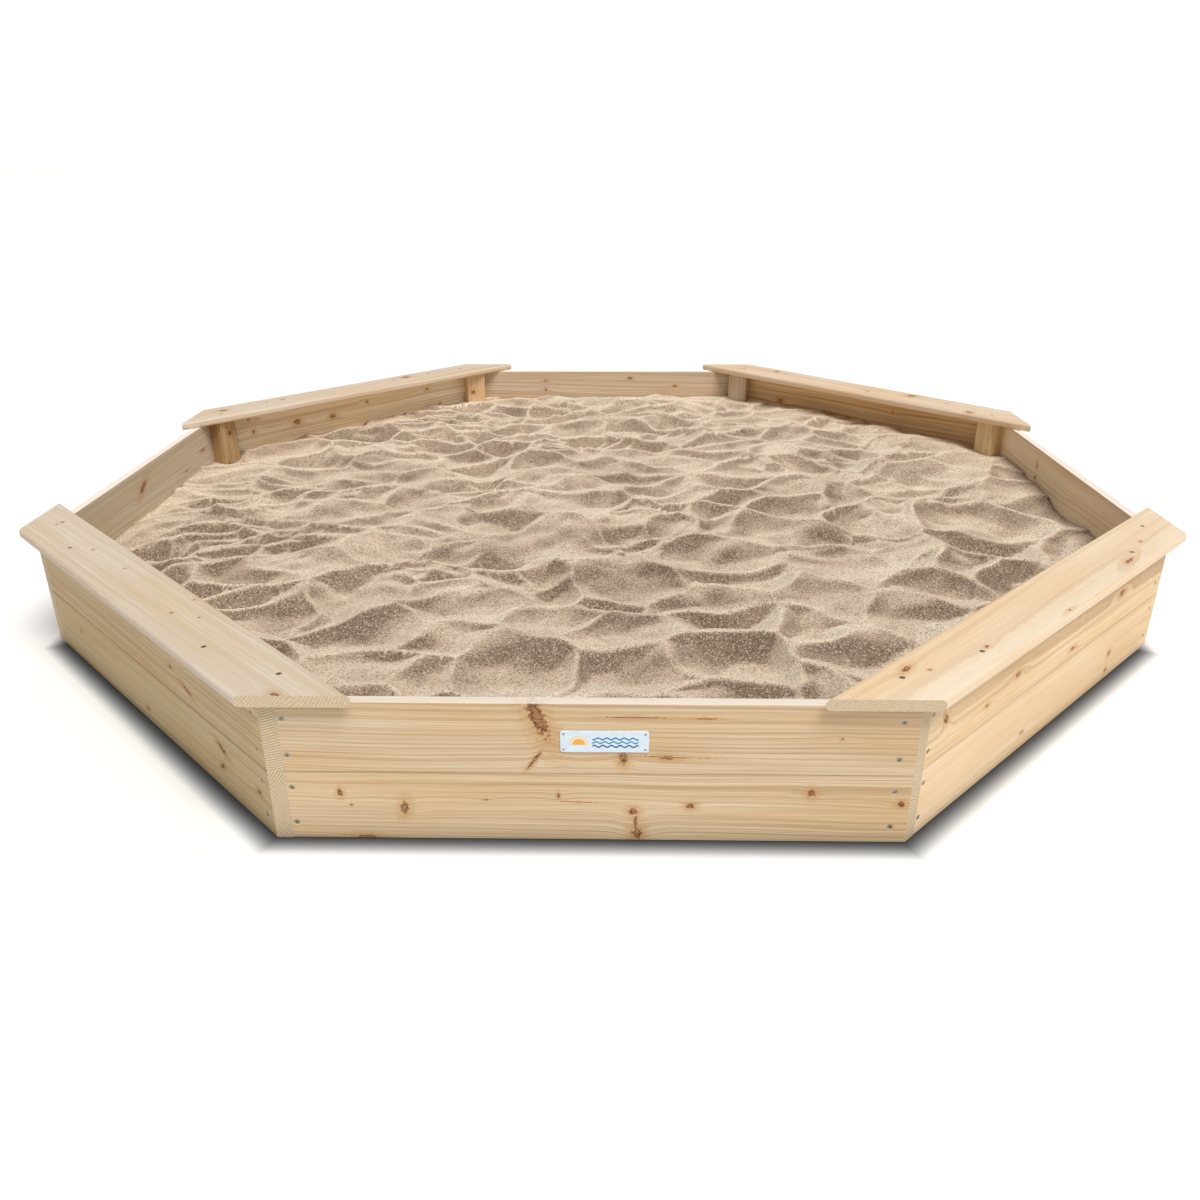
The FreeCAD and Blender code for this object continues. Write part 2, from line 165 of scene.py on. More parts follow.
class Nodes:
    """A material's node tree, with short calls that return output sockets."""

    def __init__(self, name):
        self.material = bpy.data.materials.new(name)
        self.material.use_nodes = True
        self.tree = self.material.node_tree
        self.shader = self.tree.nodes["Principled BSDF"]

    def feed(self, socket, value):
        if isinstance(value, bpy.types.NodeSocket):
            self.tree.links.new(value, socket)
        elif value is not None:
            socket.default_value = value

    def math(self, operation, *values):
        node = self.tree.nodes.new("ShaderNodeMath")
        node.operation = operation
        for socket, value in zip(node.inputs, values):
            self.feed(socket, value)
        return node.outputs[0]

    def vector_math(self, operation, *values):
        """Only for the operations that come to a number."""
        node = self.tree.nodes.new("ShaderNodeVectorMath")
        node.operation = operation
        for socket, value in zip(node.inputs, values):
            self.feed(socket, value)
        return node.outputs["Value"]

    def mapping(self, vector, kind="POINT", place=(0, 0, 0), turn=(0, 0, 0), scale=(1, 1, 1)):
        node = self.tree.nodes.new("ShaderNodeMapping")
        node.vector_type = kind
        self.feed(node.inputs["Vector"], vector)
        if kind != "NORMAL":
            self.feed(node.inputs["Location"], place)
        self.feed(node.inputs["Rotation"], turn)
        self.feed(node.inputs["Scale"], scale)
        return node.outputs[0]

    def split(self, vector):
        node = self.tree.nodes.new("ShaderNodeSeparateXYZ")
        self.feed(node.inputs[0], vector)
        return node.outputs[0], node.outputs[1], node.outputs[2]

    def join(self, x, y, z):
        node = self.tree.nodes.new("ShaderNodeCombineXYZ")
        for socket, value in zip(node.inputs, (x, y, z)):
            self.feed(socket, value)
        return node.outputs[0]

    def noise(self, vector, scale=1.0, detail=2.0, roughness=0.5):
        node = self.tree.nodes.new("ShaderNodeTexNoise")
        self.feed(node.inputs["Vector"], vector)
        self.feed(node.inputs["Scale"], scale)
        self.feed(node.inputs["Detail"], detail)
        self.feed(node.inputs["Roughness"], roughness)
        return node.outputs["Fac"]

    def ramp(self, value, *stops, smooth=False):
        """stops are (position, grey or colour). A smooth ramp only comes near its stops."""
        node = self.tree.nodes.new("ShaderNodeValToRGB")
        bar = node.color_ramp
        bar.interpolation = "B_SPLINE" if smooth else "LINEAR"
        while len(bar.elements) < len(stops):
            bar.elements.new(0.5)
        for element, (position, colour) in zip(bar.elements, stops):
            grey = isinstance(colour, (int, float))
            element.position = position
            element.color = (colour,) * 3 + (1,) if grey else (*colour, 1)
        self.feed(node.inputs[0], value)
        return node.outputs[0]

    def mix(self, share, low, high, blend="MIX"):
        """Between two colours, sockets or tuples."""
        node = self.tree.nodes.new("ShaderNodeMix")
        node.data_type, node.blend_type = "RGBA", blend
        node.clamp_factor = True
        for socket, value in zip((node.inputs[0], node.inputs[6], node.inputs[7]),
                                 (share, low, high)):
            is_colour = socket != node.inputs[0] and isinstance(value, tuple)
            self.feed(socket, (*value, 1) if is_colour else value)
        return node.outputs[2]

    def span(self, value, low, high, to_low=0.0, to_high=1.0):
        """Map a range to another, clamped."""
        node = self.tree.nodes.new("ShaderNodeMapRange")
        for socket, given in zip(node.inputs, (value, low, high, to_low, to_high)):
            self.feed(socket, given)
        return node.outputs[0]

    def bump(self, height, distance, strength=1.0):
        node = self.tree.nodes.new("ShaderNodeBump")
        self.feed(node.inputs["Strength"], strength)
        self.feed(node.inputs["Distance"], distance)
        self.feed(node.inputs["Height"], height)
        return node.outputs[0]

    def place(self):
        return self.tree.nodes.new("ShaderNodeTexCoord").outputs["Object"]

    def normal(self):
        return self.tree.nodes.new("ShaderNodeNewGeometry").outputs["Normal"]


# ---------------------------------------------------------------- wood

# Linear colours of dry pine.
PALE = (0.90, 0.735, 0.53)  # between the lines
TAN = (0.72, 0.49, 0.265)  # in streaks
GOLD = (0.80, 0.55, 0.285)  # in clouds
LATE = (0.47, 0.25, 0.10)  # in the lines
FLECK = (0.30, 0.15, 0.06)
# Painted highlight for upward faces.
TOP_HIGHLIGHT = (0.95, 0.89, 0.83)  # on upward faces
SEAM = (0.28, 0.16, 0.075)  # in the joint of two boards
SAWN_PALE, SAWN_DARK = (0.72, 0.58, 0.40), (0.40, 0.27, 0.15)  # end grain
KNOT_HALO, KNOT_HEART, KNOT_RIM = (0.60, 0.29, 0.09), (0.31, 0.10, 0.03), (0.11, 0.035, 0.012)


def board_grain(n, turn, kind):
    """(along, across, depth) in metres, and the normal's (end, inwards, up) shares."""
    local = n.mapping(n.place(), turn=(0, 0, -turn))
    facing = n.mapping(n.normal(), "NORMAL", turn=(0, 0, -turn))
    x, y, z = n.split(local)
    nx, ny, nz = n.split(facing)
    inwards = n.math("MULTIPLY", ny, -1.0)
    if kind == "wall":
        return (x, z, n.math("SUBTRACT", y, OUTER)), (nx, inwards, nz)
    if kind == "seat":
        return (x, n.math("SUBTRACT", y, INNER), n.math("SUBTRACT", z, SEAT_TOP)), (nx, 0, 0)
    return (z, x, n.math("SUBTRACT", y, INNER)), (nz, 0, 0)


def knot_reach(n, flat, middle, half_sizes, degrees):
    """Distance from a knot's middle, in its own half sizes."""
    return n.vector_math("LENGTH", n.mapping(
        flat, "TEXTURE", (*middle, 0), (0, 0, math.radians(degrees)), (*half_sizes, 1)))


def push_round_knots(n, flat, radius, knots):
    """Bend the rings round each knot. Gives the new radius and how near a knot is.

    Each knot also has a thin plume across the grain.
    """
    nearest = None
    for ku, kv, length, height, degrees, darkness in knots:
        middle = (ku, kv)
        reach = knot_reach(n, flat, middle, (length, height), degrees)
        wide = knot_reach(n, flat, middle, (length * 2.0 + 0.016, height * 1.3 + 0.003), degrees)
        plume = knot_reach(n, flat, middle, (0.5 * length + 0.0005, 2.2 * height + 0.003), 0)
        swell = n.math("POWER", math.e, n.math("MULTIPLY", n.math("POWER", wide, 2.0), -1.0))
        push = 0.9 * min(length, height) + 0.001
        radius = n.math("ADD", radius, n.math("MULTIPLY", swell, push))
        reach = n.math("MINIMUM", reach, n.math("ADD", n.math("MULTIPLY", plume, 1.8), 1.1))
        weak = n.math("DIVIDE", reach, darkness)
        nearest = weak if nearest is None else n.math("MINIMUM", nearest, weak)
    return radius, nearest


def stain_knots(n, grain, colour, nearest, fibre):
    """Orange wood round each knot, a broken dark rim, and a striped brown heart."""
    crumble = n.noise(n.mapping(grain, scale=(210, 210, 210)), detail=3)
    ragged = n.math("ADD", nearest, n.span(crumble, 0.3, 0.7, -0.65, 0.65))
    halo = n.math("MULTIPLY", n.span(ragged, 3.8, 1.1), n.span(fibre, 0.3, 0.7, 0.25, 0.75))
    colour = n.mix(halo, colour, KNOT_HALO)
    heart = n.math("MULTIPLY", n.span(ragged, 1.3, 0.8), n.span(fibre, 0.35, 0.65, 0.4, 0.85))
    colour = n.mix(heart, colour, KNOT_HEART)
    rim = n.span(n.math("ABSOLUTE", n.math("SUBTRACT", ragged, 0.85)), 0.38, 0.12)
    rim = n.math("MULTIPLY", rim, n.span(crumble, 0.38, 0.56, 0.15, 0.95))
    return n.mix(rim, colour, KNOT_RIM)


def ring_radius(n, place, grain, pith, spacing, slope, knots):
    """How far each point is from the tree's middle, and how near it is to a knot."""
    along, across, depth = place
    warp = n.noise(n.mapping(grain, scale=(2.2, 9, 9)), detail=1.5)
    warp = n.math("MULTIPLY", n.math("SUBTRACT", warp, 0.5), 0.024)
    lean = n.math("MULTIPLY", along, slope)
    side = n.math("ADD", n.math("SUBTRACT", across, pith[0]), n.math("ADD", warp, lean))
    radius = n.vector_math("LENGTH", n.join(side, n.math("SUBTRACT", depth, pith[1]), 0))
    radius, nearest = push_round_knots(n, n.join(along, across, 0), radius, knots)
    wobble = n.noise(n.mapping(grain, scale=(70, 70, 70)), detail=3)
    return n.math("ADD", radius, n.math("MULTIPLY", wobble, 0.35 * spacing)), nearest


def lines(n, radius, along, across_scale, along_scale, detail):
    """Noise stretched along the rings."""
    place = n.join(n.math("MULTIPLY", radius, across_scale),
                   n.math("MULTIPLY", along, along_scale), 0)
    return n.noise(place, detail=detail, roughness=0.6)


def late_wood(n, radius, along, spacing, contrast):
    """The dark bands of the rings, all alike, and then each with a strength of its own."""
    rings = n.math("DIVIDE", radius, spacing)
    band = n.ramp(n.math("FRACT", rings),
                  (0.0, 0.0), (0.5, 0.06), (0.8, 1.0), (0.93, 0.85), (1.0, 0.0))
    each = n.tree.nodes.new("ShaderNodeTexWhiteNoise")
    each.noise_dimensions = "1D"
    n.feed(each.inputs["W"], n.math("FLOOR", rings))
    strength = n.math("MULTIPLY", n.math("POWER", each.outputs["Value"], 1.8), 0.6 * contrast)
    patch = n.span(lines(n, radius, along, 34, 0.7, 1), 0.35, 0.65, 0.3, 1.1)
    return band, n.math("MULTIPLY", n.math("MULTIPLY", band, strength), patch)


def planed_colour(n, grain, radius, along, late, fibre, contrast):
    """Streaks, clouds, fine lines, fibres and flecks."""
    streaks = n.span(lines(n, radius, along, 90, 0.4, 3), 0.34, 0.70, 0.0, 0.50)
    clouds = n.noise(n.mapping(grain, scale=(3, 16, 16)), detail=3)
    fine = n.span(lines(n, radius, along, 330, 0.4, 3), 0.50, 0.62, 0.0, 0.42 * contrast)
    broad = n.span(lines(n, radius, along, 150, 0.5, 4), 0.55, 0.64, 0.0, 0.32 * contrast)
    flecks = n.noise(n.mapping(grain, scale=(40, 900, 900)), detail=1)
    colour = n.mix(streaks, PALE, TAN)
    colour = n.mix(n.span(clouds, 0.40, 0.65, 0.0, 0.60), colour, GOLD)
    for share in (fine, broad, late):
        colour = n.mix(share, colour, LATE)
    colour = n.mix(0.45 * contrast, colour, n.ramp(fibre, (0.3, 0.55), (0.7, 1.0)), "MULTIPLY")
    return n.mix(n.span(flecks, 0.74, 0.80, 0, 0.5), colour, FLECK)


def sawn_colour(n, grain, band, kind):
    """End grain: the rings cut across, and pores. A seat's ends are smoother."""
    ringed = n.math("MULTIPLY", band, 0.45 if kind == "seat" else 0.9)
    pores = n.noise(n.mapping(grain, scale=(800, 800, 800)), detail=1)
    colour = n.mix(ringed, SAWN_PALE, SAWN_DARK)
    return n.mix(n.span(pores, 0.45, 0.7, 0, 0.5), colour, SAWN_DARK)


def darken_seam(n, colour, across):
    """A dark line where a wall's two boards meet."""
    away = n.math("ABSOLUTE", n.math("SUBTRACT", n.math("DIVIDE", across, BOARD_WIDTH), 1.0))
    return n.mix(n.span(away, 0.018, 0.006, 0.0, 0.65), colour, SEAM)


def wood(name, turn, kind, tint, inside, contrast, pith, spacing, slope, seed, knots):
    """One board's own wood.

    tint and inside multiply its colour, all over and where it faces the sand; inside is painted
    light and shade, and tint is painted light and shade as well as the board's own tone. Upward
    faces get a painted highlight. pith is where the tree's middle runs past the board, across
    and deep, and slope how fast the board crosses the rings along its length. knots are (along,
    across, half length, half height, turn in degrees, darkness).
    """
    n = Nodes(name)
    place, (end, inwards, up) = board_grain(n, turn, kind)
    along, across, depth = place
    own_stretch = n.math("ADD", along, 3.7 * seed)
    grain = n.join(own_stretch, across, depth)
    fibre = n.noise(n.mapping(grain, scale=(5, 560, 560)), detail=2)
    radius, nearest = ring_radius(n, place, grain, pith, spacing, slope, knots)
    band, late = late_wood(n, radius, own_stretch, spacing, contrast)
    colour = planed_colour(n, grain, radius, own_stretch, late, fibre, contrast)
    colour = stain_knots(n, grain, colour, nearest, fibre)
    if kind == "wall":
        colour = darken_seam(n, colour, across)
    # Painted light and shade where a wall faces the sand.
    colour = n.mix(n.span(inwards, 0.4, 0.6), colour, n.mix(1.0, colour, inside, "MULTIPLY"))
    # Painted highlight: upward faces, the walls' top edges, are paler.
    colour = n.mix(n.span(up, 0.5, 0.8, 0.0, 0.7), colour, TOP_HIGHLIGHT)
    colour = n.mix(1.0, colour, tint, "MULTIPLY")
    at_end = n.span(n.math("ABSOLUTE", end), 0.5, 0.6)
    n.feed(n.shader.inputs["Base Color"], n.mix(at_end, colour, sawn_colour(n, grain, band, kind)))
    n.feed(n.shader.inputs["Roughness"], n.span(fibre, 0.3, 0.7, 0.58, 0.72))
    n.shader.inputs["Specular IOR Level"].default_value = 0.3
    relief = n.math("ADD", n.math("MULTIPLY", late, 0.6), fibre)
    n.feed(n.shader.inputs["Normal"], n.bump(relief, 0.0004, 0.6))
    return n.material


# Where the tree's middle ran past a board, across from the board's own middle and deep.
PITHS = {
    "wall_board_front_upper": (0.13, 0.02), "wall_board_front_lower": (-0.10, 0.04),
    "wall_board_front_right_upper": (0.01, 0.07), "wall_board_front_right_lower": (0.11, 0.03),
    "wall_board_front_left_upper": (0.10, 0.03), "seat_board_front_left": (0.10, 0.03),
    "seat_board_front_right": (0.02, 0.09),
}
# How much redder, greener and bluer than the front wall a board is, where it differs: partly the
# board's own tone, partly painted light and shade, darker on the boards to the left and paler on
# those to the right.
BOARD_TONE_AND_LIGHT = {
    "seat_board_front_right": (1.04, 1.07, 1.14),
    "seat_board_front_left": (0.81, 0.86, 0.97),
    "seat_board_back_left": (0.87, 0.91, 1.04),
    "seat_board_back_right": (0.97, 0.97, 1.04),
    "wall_board_front_upper": (0.91, 0.90, 0.87),
    "wall_board_front_lower": (0.91, 0.89, 0.83),
    "wall_board_front_left_upper": (0.83, 0.79, 0.66),
    "wall_board_front_left_lower": (0.73, 0.70, 0.57),
    "wall_board_front_right_upper": (1.08, 1.02, 0.91),
    "wall_board_front_right_lower": (1.03, 0.99, 0.93),
}
# Boards whose lines are fainter than the others', and by how much.
QUIET = {"wall_board_front_right_lower": 0.5, "wall_board_front_left_lower": 0.7,
         "seat_board_front_left": 0.35, "wall_board_left_upper": 0.6, "wall_board_right_upper": 0.7}
# Painted light and shade on a wall's inside, and on the post at its clockwise end: how much redder,
# greener and bluer they are.
INSIDE_LIGHT_AND_SHADE = {
    "left": (0.75, 0.81, 0.91), "back_left": (1.20, 1.34, 1.47), "back": (0.85, 0.88, 0.96),
    "back_right": (1.10, 1.00, 0.82), "right": (1.08, 1.08, 1.07),
}
# The same for that post alone, where it differs from the wall's inside: painted shade on the left
# post, painted light on the back right one, and a more orange tone of its own on the back left one.
POST_TONE_AND_LIGHT = {
    "left": (0.66, 0.58, 0.46), "back_left": (0.98, 0.93, 0.86), "back_right": (1.08, 1.05, 0.88),
}


# The knots that show, board by board: along the board clockwise, up it (or out, on a
# seat), half length, half height, turn and darkness.
KNOTS = {
    "wall_board_front_upper": [
        (0.058, 0.171, 0.022, 0.0072, 68, 1.0),
        (0.063, 0.114, 0.020, 0.0030, 125, 0.6),
        (-0.041, 0.118, 0.0045, 0.008, 0, 0.9),
        (-0.092, 0.118, 0.006, 0.0022, 5, 1.0),
        (-0.092, 0.119, 0.035, 0.0007, 2, 0.8),
        (-0.054, 0.172, 0.030, 0.0008, 0, 0.9),
        (-0.134, 0.171, 0.012, 0.0008, 0, 0.9),
        (-0.293, 0.145, 0.002, 0.0012, 0, 0.8),
    ],
    "wall_board_front_lower": [
        (0.297, 0.065, 0.0030, 0.0050, 0, 0.8),
        (0.285, 0.048, 0.0016, 0.0016, 0, 0.7),
        (0.221, 0.045, 0.0040, 0.0070, 10, 1.0),
        (0.123, 0.057, 0.0025, 0.0010, 0, 0.8),
        (0.036, 0.064, 0.0020, 0.0045, 0, 0.7),
        (0.012, 0.055, 0.030, 0.0006, 2, 0.7),
        (-0.053, 0.042, 0.0045, 0.0045, 0, 0.9),
        (-0.056, 0.026, 0.0025, 0.012, 0, 0.7),
        (-0.058, 0.010, 0.0050, 0.0065, 0, 1.0),
        (-0.121, 0.050, 0.0040, 0.0030, 0, 1.0),
        (-0.264, 0.070, 0.0035, 0.0040, 0, 1.0),
        (-0.371, 0.055, 0.0035, 0.0030, 0, 1.0),
        (0.272, 0.001, 0.012, 0.0035, 0, 0.8),
    ],
    "wall_board_front_right_upper": [
        (0.32, 0.147, 0.006, 0.0045, 60, 0.9),
        (0.13, 0.135, 0.007, 0.0035, 0, 0.9),
        (0.21, 0.121, 0.005, 0.0025, 0, 0.8),
        (-0.05, 0.110, 0.007, 0.0030, 0, 0.8),
        (-0.09, 0.180, 0.009, 0.0030, 0, 0.8),
        (-0.21, 0.147, 0.008, 0.0045, 0, 1.0),
    ],
    "wall_board_front_right_lower": [
        (-0.21, 0.045, 0.005, 0.0040, 0, 0.9),
        (-0.21, 0.015, 0.004, 0.0040, 0, 0.8),
        (0.08, 0.026, 0.006, 0.0025, 0, 0.7),
    ],
    "wall_board_front_left_upper": [
        (-0.06, 0.160, 0.004, 0.0030, 0, 0.8),
        (-0.125, 0.137, 0.004, 0.0030, 0, 0.8),
        (-0.17, 0.119, 0.012, 0.0025, 20, 0.9),
        (0.14, 0.170, 0.003, 0.0030, 0, 0.7),
    ],
    "wall_board_front_left_lower": [
        (0.0, 0.021, 0.004, 0.0030, 0, 0.8),
        (-0.255, 0.068, 0.009, 0.0030, 25, 1.0),
        (-0.247, 0.038, 0.006, 0.0030, -30, 0.9),
        (-0.35, 0.050, 0.004, 0.0030, 0, 0.9),
        (0.25, 0.060, 0.003, 0.0030, 0, 0.7),
    ],
    "seat_board_front_right": [
        (0.343, -0.033, 0.011, 0.0042, 10, 0.75),
        (0.325, -0.012, 0.003, 0.0020, 0, 0.8),
        (0.22, 0.006, 0.003, 0.0018, 0, 1.0),
        (-0.195, 0.019, 0.016, 0.0040, 5, 0.7),
        (-0.29, 0.0, 0.004, 0.0020, 0, 0.8),
        (-0.13, 0.048, 0.006, 0.0025, 0, 0.8),
        (0.04, 0.031, 0.003, 0.0015, 0, 0.8),
    ],
    "seat_board_front_left": [
        (0.36, -0.014, 0.0020, 0.0016, 0, 0.8),
        (0.20, -0.015, 0.0022, 0.0016, 0, 0.8),
        (0.09, -0.020, 0.0016, 0.0014, 0, 0.8),
        (-0.11, -0.005, 0.0022, 0.0016, 0, 0.9),
        (-0.09, -0.045, 0.0018, 0.0014, 0, 0.8),
        (-0.15, -0.025, 0.0016, 0.0014, 0, 0.8),
        (-0.408, 0.003, 0.009, 0.0045, 15, 0.6),
    ],
    "wall_board_back_upper": [
        (-0.17, 0.165, 0.003, 0.0030, 0, 0.8),
        (-0.17, 0.140, 0.003, 0.0040, 0, 0.8),
        (0.065, 0.173, 0.005, 0.0030, 0, 0.8),
        (0.19, 0.151, 0.004, 0.0030, 0, 0.9),
    ],
    "wall_board_back_left_upper": [
        (-0.29, 0.172, 0.004, 0.0040, 0, 0.8),
        (-0.28, 0.142, 0.004, 0.0040, 0, 0.8),
        (-0.166, 0.145, 0.008, 0.0050, 0, 1.0),
        (-0.067, 0.143, 0.007, 0.0045, 0, 1.0),
        (0.035, 0.162, 0.004, 0.0030, 0, 0.8),
        (0.222, 0.166, 0.004, 0.0030, 0, 0.8),
        (0.261, 0.119, 0.004, 0.0030, 0, 0.8),
    ],
    "wall_board_left_upper": [
        (-0.02, 0.152, 0.016, 0.0050, 30, 0.9),
        (0.29, 0.140, 0.012, 0.0030, 0, 0.7),
        (0.19, 0.122, 0.010, 0.0012, 0, 0.8),
    ],
    "wall_board_back_right_upper": [
        (-0.24, 0.132, 0.006, 0.0055, 0, 0.9),
        (0.10, 0.160, 0.003, 0.0030, 0, 0.7),
    ],
    "wall_board_right_upper": [
        (-0.134, 0.155, 0.003, 0.0050, 0, 1.0),
        (-0.134, 0.129, 0.003, 0.0040, 0, 1.0),
    ],
}


def board_nodes():
    """(node, wall, turn, kind) of every wooden piece."""
    for wall in WALLS:
        for row in ("lower", "upper"):
            yield f"wall_board_{wall}_{row}", wall, turn_of(wall), "wall"
    for wall in WALLS[1::2]:
        yield f"seat_board_{wall}", wall, turn_of(wall), "seat"
    for index, wall in enumerate(WALLS):
        following = WALLS[(index + 1) % len(WALLS)]
        name = f"corner_post_{wall}_to_{following}"
        yield name, wall, -STEP * (index + 0.5), "post"


def random_knots(draw, kind):
    """A few small knots on a board whose own ones aren't listed."""
    low, high = {"wall": (0.01, 0.18), "seat": (-0.04, 0.03), "post": (-0.02, 0.02)}[kind]
    reach = (0.02, 0.17) if kind == "post" else (-0.36, 0.36)
    knots = []
    for _ in range(draw.integers(1, 3) if kind == "post" else draw.integers(3, 6)):
        size = draw.uniform(0.002, 0.007)
        knots.append((draw.uniform(*reach), draw.uniform(low, high), size * draw.uniform(0.8, 1.6),
                      size, draw.uniform(-20, 20), draw.uniform(0.7, 1.0)))
    return knots


def dress_wood():
    for seed, (name, wall, turn, kind) in enumerate(board_nodes()):
        draw = np.random.default_rng(100 + seed)
        middle = BOARD_WIDTH * (1.5 if name.endswith("upper") else 0.5) if kind == "wall" else 0
        across, deep = draw.uniform(-0.09, 0.09), draw.choice((-1, 1)) * draw.uniform(0.03, 0.09)
        across, deep = PITHS.get(name, (across, deep))
        # Painted light and shade on the insides; the insides of walls not listed get a little
        # painted shade.
        inside = INSIDE_LIGHT_AND_SHADE.get(wall, (0.9, 0.9, 0.9))
        tint = POST_TONE_AND_LIGHT.get(wall, inside) if kind == "post" else BOARD_TONE_AND_LIGHT.get(name, (1.0, 1.0, 1.0))
        material = wood(
            name, turn, kind, tint=tint, inside=inside,
            contrast=draw.uniform(0.85, 1.1) * QUIET.get(name, 0.5 if kind == "seat" else 1.0),
            pith=(middle + across, deep), spacing=draw.uniform(0.0022, 0.0036),
            slope=draw.uniform(-0.02, 0.02),
            seed=seed, knots=KNOTS.get(name) or random_knots(draw, kind))
        paint_node(name, material)


def paint_node(name, material):
    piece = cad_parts[name]
    piece.data.materials.clear()
    piece.data.materials.append(material)


# ---------------------------------------------------------------- metal and plate

# The picture on the plate, in metres from the plate's middle.
SUN_AT, SUN_RADIUS = (-0.030, -0.004, 0), 0.0078
HORIZON = -0.0044
WAVE_ENDS = (-0.0145, 0.0395)
WAVES = (  # the height and the colour of each
    (0.0040, (0.03, 0.20, 0.50)),
    (-0.0010, (0.01, 0.33, 0.42)),
    (-0.0060, (0.02, 0.09, 0.25)),
)


def steel(name, shade, rough):
    n = Nodes(name)
    place = n.place()
    stain = n.noise(place, 900, 3)
    fine = n.noise(place, 4000, 1)
    dull = (shade * 0.45, shade * 0.38, shade * 0.25)
    colour = n.mix(n.span(stain, 0.35, 0.7), (shade, shade * 0.89, shade * 0.66), dull)
    n.feed(n.shader.inputs["Base Color"], colour)
    n.shader.inputs["Metallic"].default_value = 1.0
    n.feed(n.shader.inputs["Roughness"], n.span(stain, 0.3, 0.7, rough, rough + 0.2))
    n.feed(n.shader.inputs["Normal"], n.bump(fine, 0.00005, 0.4))
    return n.material


def picture_shapes(n, x, z):
    """The plate's picture, as pairs of a share and a colour: a sun, its ring, and waves."""
    above = n.span(z, HORIZON - 0.0002, HORIZON + 0.0002)
    away = n.vector_math("LENGTH", n.mapping(n.join(x, z, 0), "TEXTURE", SUN_AT))
    disc = n.span(away, SUN_RADIUS + 0.0002, SUN_RADIUS - 0.0002)
    yield n.math("MULTIPLY", disc, above), (0.90, 0.42, 0.05)
    ring = n.math("ABSOLUTE", n.math("SUBTRACT", away, SUN_RADIUS + 0.0028))
    yield n.math("MULTIPLY", n.span(ring, 0.0010, 0.0006), above), (0.95, 0.66, 0.12)
    low, high = WAVE_ENDS
    between = n.math("MULTIPLY", n.span(x, low, low + 0.0005), n.span(x, high, high - 0.0005))
    for count, (height, tint) in enumerate(WAVES):
        swing = n.math("SINE", n.math("ADD", n.math("MULTIPLY", x, 620.0), 1.4 * count))
        crest = n.math("ADD", n.math("MULTIPLY", swing, 0.0012), height)
        line = n.span(n.math("ABSOLUTE", n.math("SUBTRACT", z, crest)), 0.0013, 0.0009)
        yield n.math("MULTIPLY", line, between), tint


def plate_print():
    """Pale enamel with a generic picture: a sun, and three waves beside it."""
    n = Nodes("plate_print")
    low, high = (Vector(v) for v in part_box("name_plate"))
    x, _, z = n.split(n.mapping(n.place(), place=-(low + high) / 2))
    ground = n.noise(n.join(x, z, 0), 120, 2)
    colour = n.mix(n.span(ground, 0.3, 0.7), (0.66, 0.77, 0.88), (0.74, 0.83, 0.91))
    for share, tint in picture_shapes(n, x, z):
        colour = n.mix(share, colour, tint)
    n.feed(n.shader.inputs["Base Color"], colour)
    n.feed(n.shader.inputs["Roughness"], n.span(ground, 0.3, 0.7, 0.28, 0.38))
    n.feed(n.shader.inputs["Normal"], n.bump(ground, 0.00005, 0.3))
    return n.material


def dress_fittings():
    paint_node("wall_screws", steel("wall_screw_steel", 0.50, 0.35))
    paint_node("seat_screws", steel("seat_screw_steel", 0.62, 0.35))
    paint_node("name_plate", plate_print())
    paint_node("name_plate_pins", steel("pin_steel", 0.66, 0.25))


# ---------------------------------------------------------------- sand and liner


def post_section():
    """Half width of a post, and how far out its face and shoulders are.

    They are read from a post that is turned to stand square.
    """
    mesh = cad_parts["corner_post_back_to_back_right"].data
    back = Matrix.Rotation(STEP / 2, 3, "Z")
    points = np.array([back @ v.co for v in mesh.vertices])
    half = points[:, 0].max()
    face = points[:, 1].min()
    ridge = points[:, 1].max()
    return half, face, ridge - half * math.tan(STEP / 2)


def outline():
    """The edge of the sand: the inside of the walls, in round each post."""
    half, face, shoulder = post_section()
    notch = [(half, shoulder), (half, face), (-half, face), (-half, shoulder)]
    edge = []
    for index in range(len(WALLS)):
        turn = STEP * (index + 0.5) - math.pi / 2
        c, s = math.cos(turn), math.sin(turn)
        edge += [(c * x - s * y, s * x + c * y) for x, y in notch]
    return edge


LEAN = 0.5  # how far a crest leans to the front, for its height
SAND_LIFT = 0.014  # how far the crests stand over the level
SAND_RISE = (0.008, 0.012)  # of the level, to the right and to the back
SAND_MESH, SAND_MESH_QUICK = (0.0079, 0.0041), (0.014, 0.008)  # coarse and fine steps
NEAR_CREST = 0.0085  # where the mesh is fine
FINER_BACK = 0.16  # how much closer together the hollows are per metre to the back
FLATTER, WALL_REACH = 0.55, 0.14  # how much flatter the sand is at a wall, and how far from it
# The large hollows, and the small ones over them in patches, as bowls() takes them.
HOLLOWS = {"spacing": 0.094, "seed": 45, "reach": 0.030, "deep": 0.056, "round_over": 0.004}
SMALL = {"spacing": 0.068, "seed": 7, "reach": 0.020, "deep": 0.026, "round_over": 0.003}
HOLLOWS_WIDER, SMALL_WIDER = 1.15, 1.05  # how many times as wide as they reach to the back
# Painted shade: the sand darkens as it rises more steeply to the back, from one slope over a span
# of slopes.
SLOPE_FIRST, SLOPE_SPAN = -0.55, 1.15
# Less painted shade all over, and less for each metre to the back.
PALER, PALER_BACK = 0.08, 0.20  # all over, and more for each metre to the back
# A painted highlight along the crests: how strong, and how wide.
CREST_HIGHLIGHT, CREST_WIDTH = 0.28, 0.003
LATTICE = 64  # every random pattern repeats after this many steps


def soft(share):
    """From 0 to 1, level at both ends."""
    share = np.clip(share, 0, 1)
    return share * share * (3 - 2 * share)


